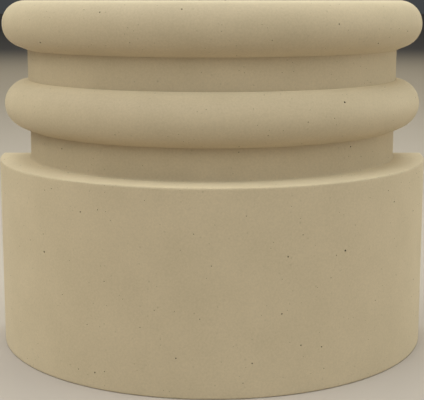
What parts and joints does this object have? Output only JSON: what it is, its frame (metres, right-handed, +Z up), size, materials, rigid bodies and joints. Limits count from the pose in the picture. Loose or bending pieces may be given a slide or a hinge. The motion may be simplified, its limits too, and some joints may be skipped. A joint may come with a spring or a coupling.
{
  "type": "half-round column base",
  "caption": "Half-round column base in cast stone: a tall plain drum under two roll mouldings on a plain neck, cut flat at the back along the column's axis.",
  "frame": {"origin": "centre of the bounding box at floor level; the column's axis is the vertical line in the middle of the flat back, at y = +0.118 m", "axes": "+Z up along the column's axis; the round front faces -Y and the flat back faces +Y; +X runs across the width"},
  "size_m": [0.472, 0.236, 0.374],
  "materials": {
    "cast_stone": "matt cast stone, fine even grain with scattered pinholes"
  },
  "bodies": {
    "root": {"half_round_base": "cast_stone"}
  },
  "joints": []
}
